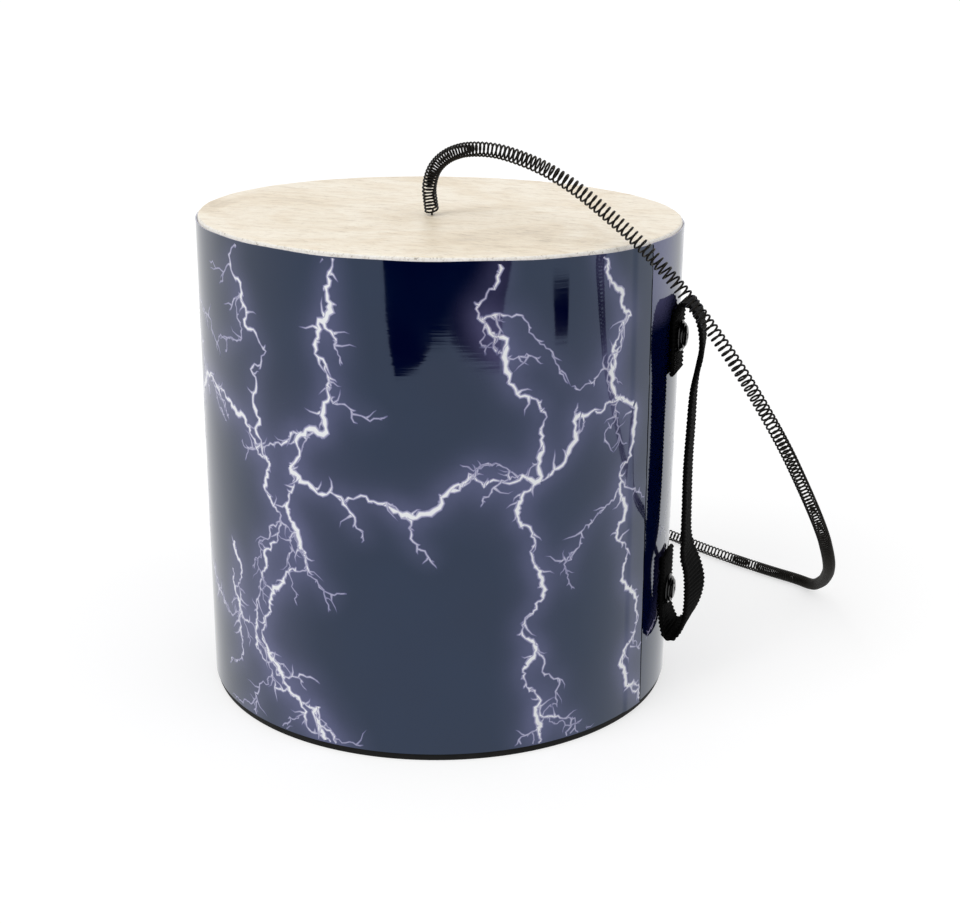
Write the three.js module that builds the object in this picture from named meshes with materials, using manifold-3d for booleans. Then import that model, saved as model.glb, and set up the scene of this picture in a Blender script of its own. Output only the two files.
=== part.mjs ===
// Thunder tube: a fibre drum shell with one head, and a long coil spring fastened to the head.
// Millimetres, Z up. The tube stands on its open end, and its strap handle faces +X.
import * as THREE from 'three';
import { mergeVertices } from 'three/addons/utils/BufferGeometryUtils.js';
import Module from 'manifold-3d';

const wasm = await Module();
wasm.setup();

// Tube sizes
const tubeDiameter = 203.2;
const tubeHeight = 204;
const shellWall = 5;
const edgeBevel = 0.8;
const tubeSides = 80;

// Clearances between neighbours
const fitGap = 0.3;
const stackGap = 0.1;

// Printed wrap sizes
const wrapThickness = 0.5;
const wrapBareBase = 3.2;
const wrapBareTop = 1.6;
const wrapLapWidth = 12;
const wrapLapRise = 0.4;
const wrapSeamAngle = THREE.MathUtils.degToRad(-14.5);
const wrapSeamLean = THREE.MathUtils.degToRad(5.5);
const wrapLevels = 4;

// Head sizes
const headFilm = 0.4;
const headCollarDepth = 6;
const headCornerRadius = 1.2;

// Spring sizes, and where the head carries it
const springDiameter = 5.8;
const wireDiameter = 0.9;
const springCurls = 100;
const stepsPerCurl = 8;
const wireSides = 5;
const springX = -0.7;
const springY = -11.3;
const springStandOff = 1.2;

// Sizes of the pieces that hold the spring under the head
const legHoleDiameter = 1.8;
const patchDiameter = 28;
const patchThickness = 0.4;
const swivelDiameter = 10;
const swivelThickness = 0.8;
const swivelBore = 3;
const keeperDiameter = 4.4;

// Strap handle sizes
const strapWidth = 20;
const strapThickness = 2.1;
const strapSteps = 72;
const fixingSpacing = 112.8;
const fixingMiddle = 103.4;

// Strap fixing sizes
const screwDiameter = 4.8;
const screwHeadDiameter = 9;
const screwHeadDome = 0.9;
const screwPastNut = 2;
const recessWidth = 1.1;
const recessDepth = 1.4;
const cupDiameter = 13;
const cupHeight = 1.7;
const cupRim = 0.8;
const cupLip = 0.4;
const backWasherDiameter = 16;
const backWasherThickness = 1.2;
const lockWasherDiameter = 8.6;
const lockWasherThickness = 1.2;
const nutAcrossFlats = 8;
const nutThickness = 4;

// Radii that follow from the layers of the wall, from outside to inside
const wrapRadius = tubeDiameter / 2;
const wrapInnerRadius = wrapRadius - wrapThickness;
const shellRadius = wrapInnerRadius - fitGap;
const shellInnerRadius = shellRadius - shellWall;
const rebateRadius = shellRadius - headFilm - fitGap;
const shellTop = tubeHeight - headFilm;

// The way of the spring: up from the head, over the rim, down to the ground and on behind the tube.
// Each point holds X and Y from where the head carries the spring. A third number is a height, in
// the rise above the head and in the fall above the ground.
const coilRadius = (springDiameter - wireDiameter) / 2;
const springRise = [
  [0, 0, 1.2], [-0.8, 0.3, 6], [-1.4, 0.6, 10.3], [-0.7, 0.3, 14.5], [1, -0.4, 18.6],
  [4, -1.6, 22.2], [8, -3.2, 25.1], [12.6, -5.1, 27.2], [17.5, -7.1, 28.6], [27.2, -11, 29.6],
  [36.6, -14.8, 29.1], [54, -21.8, 25.3], [69.5, -28, 18.9], [83.1, -33.5, 11.2], [95.7, -38.6, 3.3],
];
const springFall = [
  [109, -43.5, 196.8], [125.9, -40, 176.5], [138.4, -35.2, 158.2], [148.6, -28.1, 139.8],
  [155.4, -18.5, 124], [161.1, -7.5, 107.7], [166.1, 5.9, 90.5], [168.8, 20.3, 76.1],
  [169.5, 32.3, 66.2], [169.4, 47.1, 56], [168.5, 63.9, 46], [166.8, 82.4, 35.8],
  [164.4, 100.7, 25.9], [161.6, 117.7, 16.7], [158, 132.4, 8.9],
];
const springOnGround = [
  [153.4, 142.4], [147.7, 148.3], [136.7, 152.3], [124.7, 158], [107.2, 166.8],
  [88.9, 177.4], [71, 188.8], [53.6, 199.2], [36.1, 209.4], [18.8, 219],
];

// The way of the strap's middle: distance out from the wrap, height from its nearer fixing, and the
// turn of its width in degrees. Both ends lie on the wall, and the bow between them stands clear.
const strapSeat = fitGap + strapThickness / 2;
const strapUpper = [
  [strapSeat, -15.5, 0], [strapSeat, -8, 0], [strapSeat, 0, 0], [strapSeat, 8, 0],
  [2, 11.7, 0], [3.6, 14.1, -1], [6, 14.4, -3], [8.6, 11.8, -5], [10.8, 6.7, -6],
  [11.9, 0.2, -7], [11.6, -6.8, -9], [10.5, -13, -8], [9.3, -21.5, -6],
];
const strapMiddle = [[8.8, 17, -4.5], [8.5, 1, -4], [8.8, -15, -4]];
const strapLower = [
  [9.3, 25, -3], [10.2, 18, 3], [12.4, 12, 7], [13.8, 5, 12], [14, 0.5, 12],
  [13.5, -5, 9], [12.4, -10, 4], [10.7, -14, 0], [8.7, -16.8, -5], [6.6, -18.7, -8],
  [4.7, -18.5, -8], [3.2, -15.5, -5], [2, -11.5, -2], [strapSeat, -7.5, 0],
  [strapSeat, 0, 0], [strapSeat, 8, 0], [strapSeat, 17, 0],
];

// The furthest reach of the bow from the wrap sets how far the tube's axis stands from the middle
// of the footprint, which is the origin.
const strapReach = Math.max(...[...strapUpper, ...strapMiddle, ...strapLower].map((p) => p[0]));
const axisX = -(strapReach + strapThickness / 2) / 2;

// Surfaces

// A mesh keeps its faces pointing out: a negative volume means that they point in.
function facingOut(geometry) {
  const p = geometry.attributes.position;
  const index = geometry.index.array;
  const corner = [new THREE.Vector3(), new THREE.Vector3(), new THREE.Vector3()];
  let volume = 0;
  for (let i = 0; i < index.length; i += 3) {
    corner.forEach((c, k) => c.fromBufferAttribute(p, index[i + k]));
    volume += corner[0].dot(corner[1].clone().cross(corner[2]));
  }
  if (volume < 0) {
    for (let i = 0; i < index.length; i += 3) {
      [index[i], index[i + 1]] = [index[i + 1], index[i]];
    }
  }
  return geometry;
}

function fromTriangles(points, triangles) {
  const geometry = new THREE.BufferGeometry();
  geometry.setAttribute('position', new THREE.Float32BufferAttribute(points.flat(), 3));
  geometry.setIndex(triangles);
  geometry.computeVertexNormals();
  return facingOut(geometry);
}

// Joins rings of points into a skin. Open ends get a fan to the middle of the end ring.
function skin(rings, { closed = false } = {}) {
  const points = rings.flat();
  const count = rings[0].length;
  const triangles = [];
  const spans = closed ? rings.length : rings.length - 1;
  for (let i = 0; i < spans; i++) {
    const here = i * count;
    const next = ((i + 1) % rings.length) * count;
    for (let j = 0; j < count; j++) {
      const k = (j + 1) % count;
      triangles.push(here + j, here + k, next + k, here + j, next + k, next + j);
    }
  }
  if (!closed) {
    for (const [ring, turn] of [[0, 1], [rings.length - 1, -1]]) {
      const middle = [0, 1, 2].map((axis) => rings[ring].reduce((s, p) => s + p[axis], 0) / count);
      points.push(middle);
      for (let j = 0; j < count; j++) {
        const edge = [ring * count + j, ring * count + ((j + 1) % count)];
        if (turn > 0) edge.reverse();
        triangles.push(edge[0], edge[1], points.length - 1);
      }
    }
  }
  return fromTriangles(points, triangles);
}

function toSolid(geometry) {
  const plain = geometry.clone();
  plain.deleteAttribute('normal');
  plain.deleteAttribute('uv');
  const merged = mergeVertices(plain, 1e-4);
  const index = merged.index.array;
  const triangles = [];
  for (let i = 0; i < index.length; i += 3) {
    const [a, b, c] = [index[i], index[i + 1], index[i + 2]];
    if (a !== b && b !== c && c !== a) triangles.push(a, b, c);
  }
  const vertProperties = Float32Array.from(merged.attributes.position.array);
  return new wasm.Manifold(new wasm.Mesh({
    numProp: 3, vertProperties, triVerts: Uint32Array.from(triangles),
  }));
}

function cut(geometry, tools) {
  let solid = toSolid(geometry);
  for (const tool of tools) solid = solid.subtract(toSolid(tool));
  const mesh = solid.getMesh();
  const result = new THREE.BufferGeometry();
  result.setAttribute('position', new THREE.Float32BufferAttribute(mesh.vertProperties, 3));
  result.setIndex(Array.from(mesh.triVerts));
  result.computeVertexNormals();
  return result;
}

// A profile of radius and height, turned about the upright.
function turned(profile, sides = tubeSides) {
  const points = profile.map(([radius, height]) => new THREE.Vector2(radius, height));
  const lathe = new THREE.LatheGeometry(points, sides);
  lathe.rotateX(Math.PI / 2);
  return facingOut(lathe);
}

function ring(innerRadius, outerRadius, low, high, sides) {
  return turned([
    [innerRadius, low], [outerRadius, low], [outerRadius, high], [innerRadius, high],
    [innerRadius, low],
  ], sides);
}

function arc(centreRadius, centreHeight, radius, from, to, steps) {
  return Array.from({ length: steps + 1 }, (_, i) => {
    const angle = from + ((to - from) * i) / steps;
    return [centreRadius + radius * Math.cos(angle), centreHeight + radius * Math.sin(angle)];
  });
}

// A drill along X at the height of a strap fixing.
function fixingDrill(height) {
  const drill = new THREE.CylinderGeometry(
    screwDiameter / 2 + fitGap, screwDiameter / 2 + fitGap, tubeDiameter / 4, 24,
  );
  drill.rotateZ(Math.PI / 2);
  drill.translate(wrapRadius, 0, height);
  return drill;
}

const fixingHeights = [fixingMiddle + fixingSpacing / 2, fixingMiddle - fixingSpacing / 2];
const [upperFixing, lowerFixing] = fixingHeights;

// Shell: a fibre tube, rebated at the top for the collar of the head
function shell() {
  const rebateDepth = headCollarDepth + fitGap;
  const profile = [
    [shellInnerRadius + edgeBevel, 0],
    [shellRadius, 0],
    [shellRadius, tubeHeight - rebateDepth],
    [rebateRadius, tubeHeight - rebateDepth],
    [rebateRadius, shellTop - headCornerRadius],
    [rebateRadius - headCornerRadius, shellTop],
    [shellInnerRadius + edgeBevel, shellTop],
    [shellInnerRadius, shellTop - edgeBevel],
    [shellInnerRadius, edgeBevel],
    [shellInnerRadius + edgeBevel, 0],
  ];
  return cut(turned(profile), fixingHeights.map(fixingDrill));
}

// Wrap: a printed sheet round the shell. Its end laps over its start, and the lap leans a little.
function wrap() {
  const low = wrapBareBase;
  const high = tubeHeight - wrapBareTop;
  const lap = wrapLapWidth / wrapRadius;
  const heights = Array.from({ length: wrapLevels }, (_, i) => low + ((high - low) * i) / (wrapLevels - 1));
  const station = (angle, outer) => {
    const at = (radius, z) => {
      const turn = wrapSeamAngle + angle + wrapSeamLean * (z / tubeHeight);
      return [radius * Math.cos(turn), radius * Math.sin(turn), z];
    };
    const outside = heights.map((z) => at(outer, z));
    const inside = heights.toReversed().map((z) => at(wrapInnerRadius, z));
    return [...outside, ...inside];
  };
  const stations = [];
  for (let i = 0; i <= tubeSides; i++) {
    const angle = (2 * Math.PI * i) / tubeSides;
    stations.push(station(angle, wrapRadius));
    if (i === tubeSides) break;
    const next = (2 * Math.PI * (i + 1)) / tubeSides;
    if (2 * Math.PI - next < lap) break;
  }
  const rest = 2 * Math.PI - lap;
  stations.push(station(rest, wrapRadius));
  const lapSteps = 4;
  for (let i = 1; i <= lapSteps; i++) {
    stations.push(station(rest + (lap * i) / lapSteps, wrapRadius + wrapLapRise));
  }
  return cut(skin(stations, { closed: true }), fixingHeights.map(fixingDrill));
}

// Head: a flat film whose edge turns down round the top of the shell
function head() {
  const outer = shellRadius;
  const corner = headCornerRadius;
  const inner = corner - headFilm;
  const middle = outer - corner;
  const profile = [
    [0, tubeHeight],
    ...arc(middle, tubeHeight - corner, corner, Math.PI / 2, 0, 3),
    [outer, tubeHeight - headCollarDepth],
    [outer - headFilm, tubeHeight - headCollarDepth],
    ...arc(middle, tubeHeight - corner, inner, 0, Math.PI / 2, 3),
    [0, tubeHeight - headFilm],
  ];
  const hole = new THREE.CylinderGeometry(legHoleDiameter / 2, legHoleDiameter / 2, 4 * headFilm, 16);
  hole.rotateX(Math.PI / 2);
  hole.translate(springX, springY, tubeHeight - headFilm / 2);
  return cut(turned(profile), [hole]);
}

// Pieces stacked under the head round the spring's leg
const patchTop = tubeHeight - headFilm;
const swivelTop = patchTop - patchThickness - fitGap;
const keeperTop = swivelTop - swivelThickness - fitGap;
const legBottom = keeperTop - keeperDiameter - wireDiameter / 2;

function headPatch() {
  return ring(legHoleDiameter / 2, patchDiameter / 2, patchTop - patchThickness, patchTop, 48);
}

function swivelWasher() {
  return ring(swivelBore / 2, swivelDiameter / 2, swivelTop - swivelThickness, swivelTop, 32);
}

// A round bead with a bore for the leg
function keeperBead() {
  const radius = keeperDiameter / 2;
  const bore = wireDiameter / 2 + fitGap / 2;
  const lean = Math.acos(bore / radius);
  const middle = keeperTop - radius;
  const outside = arc(0, middle, radius, -lean, lean, 10);
  return turned([...outside, outside[0]], 20);
}

// Spring: one wire, whose leg stands in the keeper and whose curls follow the spring's way
function springWay() {
  const rise = springRise.map(([x, y, z]) => new THREE.Vector3(x, y, tubeHeight + z));
  const fall = springFall.map(([x, y, z]) => new THREE.Vector3(x, y, z));
  const ground = springOnGround.map(([x, y]) => new THREE.Vector3(x, y, springDiameter / 2));
  const way = new THREE.CatmullRomCurve3([...rise, ...fall, ...ground], false, 'centripetal');
  way.arcLengthDivisions = 2000;
  return way;
}

function springWire() {
  const way = springWay();
  const steps = springCurls * stepsPerCurl;
  const leg = [legBottom - tubeHeight, springStandOff - wireDiameter].map((z) => (
    new THREE.Vector3(0, 0, tubeHeight + z)
  ));
  const line = [...leg];
  // The across direction is carried along the way without turning about it.
  const across = new THREE.Vector3(1, 0, 0);
  const opening = 0.6 / springCurls;
  for (let i = 0; i <= steps; i++) {
    const share = i / steps;
    const middle = way.getPointAt(share);
    middle.z = Math.max(middle.z, springDiameter / 2);
    const along = way.getTangentAt(share);
    across.addScaledVector(along, -across.dot(along)).normalize();
    const up = along.clone().cross(across);
    const open = Math.min(1, share / opening);
    const radius = coilRadius * Math.sin((open * Math.PI) / 2);
    const angle = (2 * Math.PI * i) / stepsPerCurl;
    const point = middle.clone();
    point.addScaledVector(across, radius * Math.cos(angle));
    point.addScaledVector(up, radius * Math.sin(angle));
    line.push(point);
  }
  return line;
}

// Sweeps a round wire along a line of points. The ends are cut square.
function sweptWire(line) {
  const side = new THREE.Vector3(1, 0, 0);
  const rings = line.map((point, i) => {
    const before = line[Math.max(0, i - 1)];
    const after = line[Math.min(line.length - 1, i + 1)];
    const along = after.clone().sub(before).normalize();
    side.addScaledVector(along, -side.dot(along)).normalize();
    const up = along.clone().cross(side);
    return Array.from({ length: wireSides }, (_, k) => {
      const angle = (2 * Math.PI * k) / wireSides;
      const corner = point.clone();
      corner.addScaledVector(side, (wireDiameter / 2) * Math.cos(angle));
      corner.addScaledVector(up, (wireDiameter / 2) * Math.sin(angle));
      return corner.toArray();
    });
  });
  return skin(rings);
}

// The least gap between two turns of the wire, measured on its middle line.
function leastSelfGap(line) {
  let least = Infinity;
  for (let i = 0; i < line.length; i++) {
    for (let j = i + stepsPerCurl - 2; j < Math.min(line.length, i + 3 * stepsPerCurl); j++) {
      least = Math.min(least, line[i].distanceTo(line[j]) - wireDiameter);
    }
  }
  return least;
}

// Strap: webbing that lies flat on the wall at both ends and bows out between them
function strapPlaces() {
  const place = (points, height) => points.map(([out, rise, turn]) => (
    { at: new THREE.Vector3(wrapRadius + out, 0, height + rise), turn }
  ));
  return [
    ...place(strapUpper, upperFixing), ...place(strapMiddle, fixingMiddle),
    ...place(strapLower, lowerFixing),
  ];
}

function strap() {
  const places = strapPlaces();
  const way = new THREE.CatmullRomCurve3(places.map((place) => place.at), false, 'centripetal');
  const half = strapWidth / 2;
  const thin = strapThickness / 2;
  const round = thin / 2;
  const section = [
    [half, -round], [half, round], [half - round, thin], [round - half, thin],
    [-half, round], [-half, -round], [round - half, -thin], [half - round, -thin],
  ];
  const rings = Array.from({ length: strapSteps + 1 }, (_, i) => {
    const reach = way.getUtoTmapping(i / strapSteps);
    const middle = way.getPoint(reach);
    const along = way.getTangent(reach);
    const place = Math.min(reach * (places.length - 1), places.length - 1.001);
    const [from, to] = [places[Math.floor(place)].turn, places[Math.floor(place) + 1].turn];
    const turn = THREE.MathUtils.degToRad(THREE.MathUtils.lerp(from, to, place % 1));
    const wide = new THREE.Vector3(0, 1, 0).applyAxisAngle(along, turn);
    const face = wide.clone().cross(along);
    return section.map(([w, t]) => (
      middle.clone().addScaledVector(wide, w).addScaledVector(face, t).toArray()
    ));
  });
  const drills = fixingHeights.map((height) => {
    const drill = new THREE.CylinderGeometry(
      screwDiameter / 2 + fitGap, screwDiameter / 2 + fitGap, 2 * strapThickness, 24,
    );
    drill.rotateZ(Math.PI / 2);
    return drill.translate(wrapRadius + strapSeat, 0, height);
  });
  return cut(skin(rings), drills);
}

// Strap fixings. Each is drawn upright with the strap's outer face at zero, then laid along X.
function layOnWall(geometry, height) {
  geometry.rotateY(Math.PI / 2);
  geometry.translate(wrapRadius + strapSeat + strapThickness / 2, 0, height);
  return geometry;
}

const screwRadius = screwDiameter / 2;
const cupSeat = screwHeadDiameter / 2 - screwRadius;

// The cup's inside is a cone, parallel to the one under the screw's head.
function cupWasher(height) {
  const outer = cupDiameter / 2;
  const top = fitGap + cupHeight;
  const mouth = screwHeadDiameter / 2 + fitGap;
  const profile = [
    [mouth - cupHeight, fitGap],
    [outer, fitGap],
    [outer, fitGap + cupRim / 2],
    [outer - cupRim / 2, fitGap + cupRim],
    [mouth + 2 * cupLip, fitGap + cupRim],
    [mouth + cupLip, top],
    [mouth, top],
    [mouth - cupHeight, fitGap],
  ];
  return layOnWall(turned(profile, 32), height);
}

function screw(height) {
  const headRadius = screwHeadDiameter / 2;
  const rim = cupHeight + 2 * fitGap;
  const length = wrapRadius + strapSeat + strapThickness / 2 - nutBack + screwPastNut;
  const profile = [
    [0, -length],
    [screwRadius - 0.5, -length],
    [screwRadius, -length + 0.5],
    [screwRadius, rim - cupSeat],
    [headRadius, rim],
    [headRadius * 0.92, rim + screwHeadDome * 0.42],
    [headRadius * 0.7, rim + screwHeadDome * 0.78],
    [headRadius * 0.38, rim + screwHeadDome * 0.96],
    [0, rim + screwHeadDome],
  ];
  const recess = [0, Math.PI / 2].map((turn) => {
    const slot = new THREE.BoxGeometry(headRadius, recessWidth, 2 * recessDepth);
    slot.rotateZ(turn + Math.PI / 4);
    return slot.translate(0, 0, rim + screwHeadDome);
  });
  return layOnWall(cut(turned(profile, 24), recess), height);
}

// The stack inside the wall. Places are distances from the tube's axis.
const backWasherHalf = backWasherDiameter / 2;
const backWasherFace = Math.sqrt(shellInnerRadius ** 2 - backWasherHalf ** 2) - fitGap;
const lockWasherFace = backWasherFace - backWasherThickness - stackGap;
const nutFace = lockWasherFace - lockWasherThickness - stackGap;
const nutBack = nutFace - nutThickness;

function layInside(geometry, face, height) {
  geometry.rotateY(Math.PI / 2);
  geometry.translate(face, 0, height);
  return geometry;
}

function backWasher(height) {
  const washer = ring(screwRadius + fitGap, backWasherHalf, -backWasherThickness, 0, 32);
  return layInside(washer, backWasherFace, height);
}

function lockWasher(height) {
  const outer = lockWasherDiameter / 2;
  const inner = screwRadius + fitGap;
  const slit = THREE.MathUtils.degToRad(8);
  const shape = new THREE.Shape();
  shape.absarc(0, 0, outer, slit, 2 * Math.PI - slit, false);
  shape.absarc(0, 0, inner, 2 * Math.PI - slit, slit, true);
  const washer = new THREE.ExtrudeGeometry(shape, {
    depth: lockWasherThickness, bevelEnabled: false, curveSegments: 24,
  });
  washer.translate(0, 0, -lockWasherThickness);
  return layInside(washer, lockWasherFace, height);
}

function nut(height) {
  const corner = nutAcrossFlats / Math.sqrt(3);
  const shape = new THREE.Shape(Array.from({ length: 6 }, (_, i) => (
    new THREE.Vector2(corner * Math.cos((i * Math.PI) / 3), corner * Math.sin((i * Math.PI) / 3))
  )));
  const bore = new THREE.Path().absarc(0, 0, screwRadius + fitGap, 0, 2 * Math.PI, true);
  shape.holes.push(bore);
  const block = new THREE.ExtrudeGeometry(shape, {
    depth: nutThickness, bevelEnabled: false, curveSegments: 12,
  });
  block.translate(0, 0, -nutThickness);
  return layInside(block, nutFace, height);
}

// Materials
function material(color, roughness, metalness = 0) {
  return new THREE.MeshStandardMaterial({ color, roughness, metalness });
}
const blackFibre = material(0x17171a, 0.8);
const printedFilm = material(0x2c3350, 0.15);
const hideFilm = material(0xe6dcc9, 0.55);
const springSteel = material(0x1c1c1e, 0.35, 0.9);
const blackWebbing = material(0x141415, 0.9);
const blackSteel = material(0x18181a, 0.3, 0.8);
const zincSteel = material(0xb4b8bc, 0.35, 1);
const whiteNylon = material(0xdedcd4, 0.5);

// Assembly
const thunderTube = new THREE.Group();
thunderTube.name = 'thunder_tube';

const onAxis = new THREE.Group();
onAxis.position.set(axisX, 0, 0);
thunderTube.add(onAxis);

const onSpring = new THREE.Group();
onSpring.position.set(springX, springY, 0);
onAxis.add(onSpring);

function add(group, name, geometry, finish) {
  const mesh = new THREE.Mesh(geometry, finish);
  mesh.name = name;
  group.add(mesh);
}

add(onAxis, 'shell', shell(), blackFibre);
add(onAxis, 'printed_wrap', wrap(), printedFilm);
add(onAxis, 'head', head(), hideFilm);

const wire = springWire();
console.log(`least gap between the spring's curls: ${leastSelfGap(wire).toFixed(2)} mm`);
add(onSpring, 'spring', sweptWire(wire), springSteel);
add(onSpring, 'head_patch', headPatch(), hideFilm);
add(onSpring, 'swivel_washer', swivelWasher(), whiteNylon);
add(onSpring, 'keeper_bead', keeperBead(), zincSteel);

add(onAxis, 'handle_strap', strap(), blackWebbing);
for (const [place, height] of [['upper', upperFixing], ['lower', lowerFixing]]) {
  add(onAxis, `${place}_cup_washer`, cupWasher(height), blackSteel);
  add(onAxis, `${place}_screw`, screw(height), blackSteel);
  add(onAxis, `${place}_back_washer`, backWasher(height), zincSteel);
  add(onAxis, `${place}_lock_washer`, lockWasher(height), zincSteel);
  add(onAxis, `${place}_nut`, nut(height), zincSteel);
}

export default thunderTube;
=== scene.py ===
import math
import random

import bpy
import numpy as np
from mathutils import Matrix, Vector


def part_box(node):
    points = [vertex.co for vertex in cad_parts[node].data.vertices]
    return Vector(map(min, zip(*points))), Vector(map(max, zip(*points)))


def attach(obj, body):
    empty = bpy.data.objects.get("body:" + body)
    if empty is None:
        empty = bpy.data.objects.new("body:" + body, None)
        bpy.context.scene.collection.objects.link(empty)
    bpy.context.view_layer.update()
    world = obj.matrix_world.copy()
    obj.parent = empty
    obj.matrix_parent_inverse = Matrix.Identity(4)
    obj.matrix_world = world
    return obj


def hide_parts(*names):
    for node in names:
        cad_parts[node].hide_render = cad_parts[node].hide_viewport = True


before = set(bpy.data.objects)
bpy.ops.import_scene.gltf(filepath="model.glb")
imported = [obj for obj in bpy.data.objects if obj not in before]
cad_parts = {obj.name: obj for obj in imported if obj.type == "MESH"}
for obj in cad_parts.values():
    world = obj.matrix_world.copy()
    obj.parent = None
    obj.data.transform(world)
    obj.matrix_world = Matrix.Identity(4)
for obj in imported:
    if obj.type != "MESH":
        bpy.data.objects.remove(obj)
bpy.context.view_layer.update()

# Thunder tube: an open drum shell in a glossy storm-sky print, with a hide-look head, a long
# coil spring that hangs from the head, and a webbing strap handle. Lengths are in millimetres
# here and turned to metres in the meshes.
MM = 0.001
quarter = math.pi / 2

# Sizes of the instrument, as in the part's source
WRAP_RADIUS, WRAP_THICK = 101.6, 0.5
WRAP_LOW, WRAP_HIGH = 3.2, 202.4
LAP_WIDTH, LAP_RISE = 12.0, 0.4
SHELL_RADIUS, SHELL_INSIDE = 100.8, 95.8
TUBE_HEIGHT = 204.0
HEAD_FILM, HEAD_COLLAR, HEAD_CORNER = 0.4, 6.0, 1.2
STRAP_WIDTH, STRAP_THICK = 20.0, 2.1
STRAP_SEAT = 0.3 + STRAP_THICK / 2
FIXING_MIDDLE = 103.4
UPPER_FIXING, LOWER_FIXING = FIXING_MIDDLE + 56.4, FIXING_MIDDLE - 56.4
LEG_BOTTOM = 196.95

# As the photograph shows them: the place and lean of the wrap's lap, and the spring's wire
SEAM_ANGLE, SEAM_LEAN = math.radians(-13.9), math.radians(-3.2)
WIRE, COIL_MEAN_RADIUS = 0.85, 2.475

for each in bpy.context.selected_objects:
    each.select_set(False)

# The tube's own axis, found from the head's round edge
head_low, head_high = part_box("head")
AXIS_X = (head_low.x + head_high.x) / 2 / MM
AXIS_Y = (head_low.y + head_high.y) / 2 / MM
TUBE_AXIS = (AXIS_X, AXIS_Y)
# The hole for the spring is a little off the middle of the head
HOLE_X, HOLE_Y = AXIS_X - 0.7, AXIS_Y - 11.3


# Camera, at the photograph's viewing angle
def photo_camera():
    turn, pitch, roll = math.radians(15.32), math.radians(18.42), math.radians(-1.50)
    data = bpy.data.cameras.new("photo_camera")
    data.lens = 59.925
    data.sensor_width = 36
    data.shift_x = -0.0833
    data.shift_y = 0.0049
    data.clip_start = 0.01
    data.clip_end = 100
    camera = bpy.data.objects.new("photo_camera", data)
    bpy.context.scene.collection.objects.link(camera)
    # A camera looks down its own Z, so it is tipped up by a quarter turn before all else
    place = Matrix.Rotation(turn, 4, "Z") @ Matrix.Rotation(-pitch, 4, "X")
    place = place @ Matrix.Rotation(roll, 4, "Y") @ Matrix.Rotation(quarter, 4, "X")
    place.translation = Vector((219.95, -633.3, 315.5)) * MM
    camera.matrix_world = place
    bpy.context.scene.camera = camera


photo_camera()


def smooth_line(points, per_piece=60):
    """A smooth line through points, as the part's source draws its lines, and the place of
    each of its steps among the points."""
    points = [np.array(p, float) for p in points]
    out, places = [], []
    for i, (p1, p2) in enumerate(zip(points, points[1:])):
        p0 = points[i - 1] if i else 2 * p1 - p2
        p3 = points[i + 2] if i + 2 < len(points) else 2 * p2 - p1
        pairs = ((p0, p1), (p1, p2), (p2, p3))
        g0, g1, g2 = (max(np.linalg.norm(b - a) ** 0.5, 1e-4) for a, b in pairs)
        m1 = ((p1 - p0) / g0 - (p2 - p0) / (g0 + g1) + (p2 - p1) / g1) * g1
        m2 = ((p2 - p1) / g1 - (p3 - p1) / (g1 + g2) + (p3 - p2) / g2) * g1
        last = i == len(points) - 2
        for step in range(per_piece + last):
            t = step / per_piece
            curve = (3 * (p2 - p1) - 2 * m1 - m2) * t * t + (2 * (p1 - p2) + m1 + m2) * t ** 3
            out.append(p1 + m1 * t + curve)
            places.append(i + t)
    return np.array(out), np.array(places)


def run_lengths(line):
    return np.concatenate([[0], np.cumsum(np.linalg.norm(np.diff(line, axis=0), axis=1))])


def at_lengths(line, lengths, wanted):
    return np.stack([np.interp(wanted, lengths, line[:, k]) for k in range(line.shape[1])], axis=1)


def unit(rows):
    return rows / np.linalg.norm(rows, axis=1)[:, None]


def ways_at(line, lengths, wanted, reach):
    """Unit directions of the line, each taken over a reach on both sides of its place."""
    ahead = at_lengths(line, lengths, np.minimum(wanted + reach, lengths[-1]))
    return unit(ahead - at_lengths(line, lengths, np.maximum(wanted - reach, 0)))


def read_off(wanted, pairs):
    """Values between given pairs of place and value."""
    return np.interp(wanted, *zip(*pairs))


def mesh_object(name, points, faces, smooth=True):
    mesh = bpy.data.meshes.new(name)
    mesh.from_pydata([tuple(p) for p in np.array(points) * MM], [], faces)
    mesh.update()
    mesh.polygons.foreach_set("use_smooth", [smooth] * len(mesh.polygons))
    made = bpy.data.objects.new(name, mesh)
    bpy.context.scene.collection.objects.link(made)
    return made


def ring_faces(rings, sides, closed_round=True, first=0):
    faces = []
    for i in range(rings - 1):
        for k in range(sides if closed_round else sides - 1):
            a, b = first + i * sides + k, first + i * sides + (k + 1) % sides
            faces.append((a, b, b + sides, a + sides))
    return faces


def closed_faces(rings, sides, turned=False):
    """Rings joined to a tube with closed ends, its faces turned round where that is asked."""
    last = (rings - 1) * sides
    faces = ring_faces(rings, sides)
    faces += [tuple(range(sides))[::-1], tuple(range(last, last + sides))]
    return [face[::-1] for face in faces] if turned else faces


def point_values(piece, name, values):
    kept = piece.data.attributes.new(name, "FLOAT", "POINT")
    kept.data.foreach_set("value", np.array(values, np.float32))


def smooth_under(piece, degrees):
    piece.select_set(True)
    bpy.context.view_layer.objects.active = piece
    bpy.ops.object.shade_smooth_by_angle(angle=math.radians(degrees))
    piece.select_set(False)


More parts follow.
